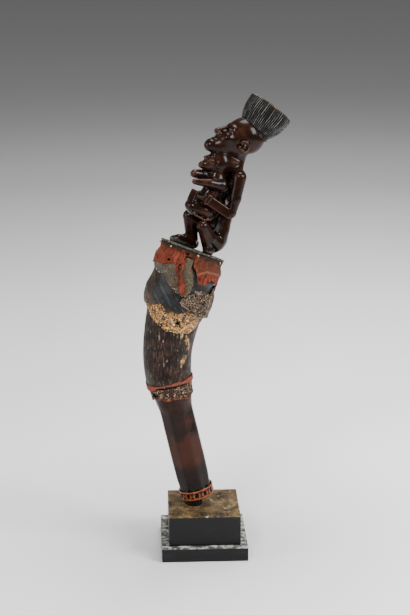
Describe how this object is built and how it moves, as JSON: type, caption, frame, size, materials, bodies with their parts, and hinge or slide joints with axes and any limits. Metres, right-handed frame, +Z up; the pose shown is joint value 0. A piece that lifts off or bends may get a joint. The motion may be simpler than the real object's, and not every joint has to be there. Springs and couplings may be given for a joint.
{
  "type": "dance wand",
  "caption": "Carved wooden dance wand: a squatting mother and child on a bent shaft wrapped in red cloth and hide, standing on a stepped plinth.",
  "frame": {"origin": "centre of the plinth's underside", "axes": "+Z up, -Y towards the viewer, +X to the right, so that the figure faces left"},
  "size_m": [0.1344, 0.088, 0.4243],
  "materials": {
    "polished_wood": "hard dark wood, hand-polished, nearly black with red-brown lights",
    "plinth_black": "ebonised wood, satin, dusty",
    "plinth_marbled": "black block with a brown-olive waxed and speckled top",
    "red_cloth": "faded red trade cloth, torn and dusty",
    "grey_cloth": "grey-green cloth, worn and torn",
    "dark_hide": "dark hide with short hair",
    "crumpled_hide": "dry crumpled grey-brown hide",
    "scaly_skin": "pale dry scaly skin with brown specks",
    "sleeve_hide": "dark mottled hide, rubbed through in streaks",
    "brass_tack": "dull round tack heads"
  },
  "bodies": {
    "root": {"wand": "polished_wood", "mounting_peg": "plinth_black", "plinth_block": "plinth_marbled", "plinth_slab": "plinth_black", "red_cloth_band": "red_cloth", "red_tongue": "red_cloth", "grey_cloth_patch": "grey_cloth", "hide_collar": "dark_hide", "crumpled_hide": "crumpled_hide", "scaly_skin_band": "scaly_skin", "hide_sleeve": "sleeve_hide", "lower_red_strip": "red_cloth", "lower_cloth": "grey_cloth", "rim_tack_1": "brass_tack", "rim_tack_2": "brass_tack", "rim_tack_3": "brass_tack", "rim_tack_4": "brass_tack", "rim_tack_5": "brass_tack", "rim_tack_6": "brass_tack", "rim_tack_7": "brass_tack"}
  },
  "joints": []
}
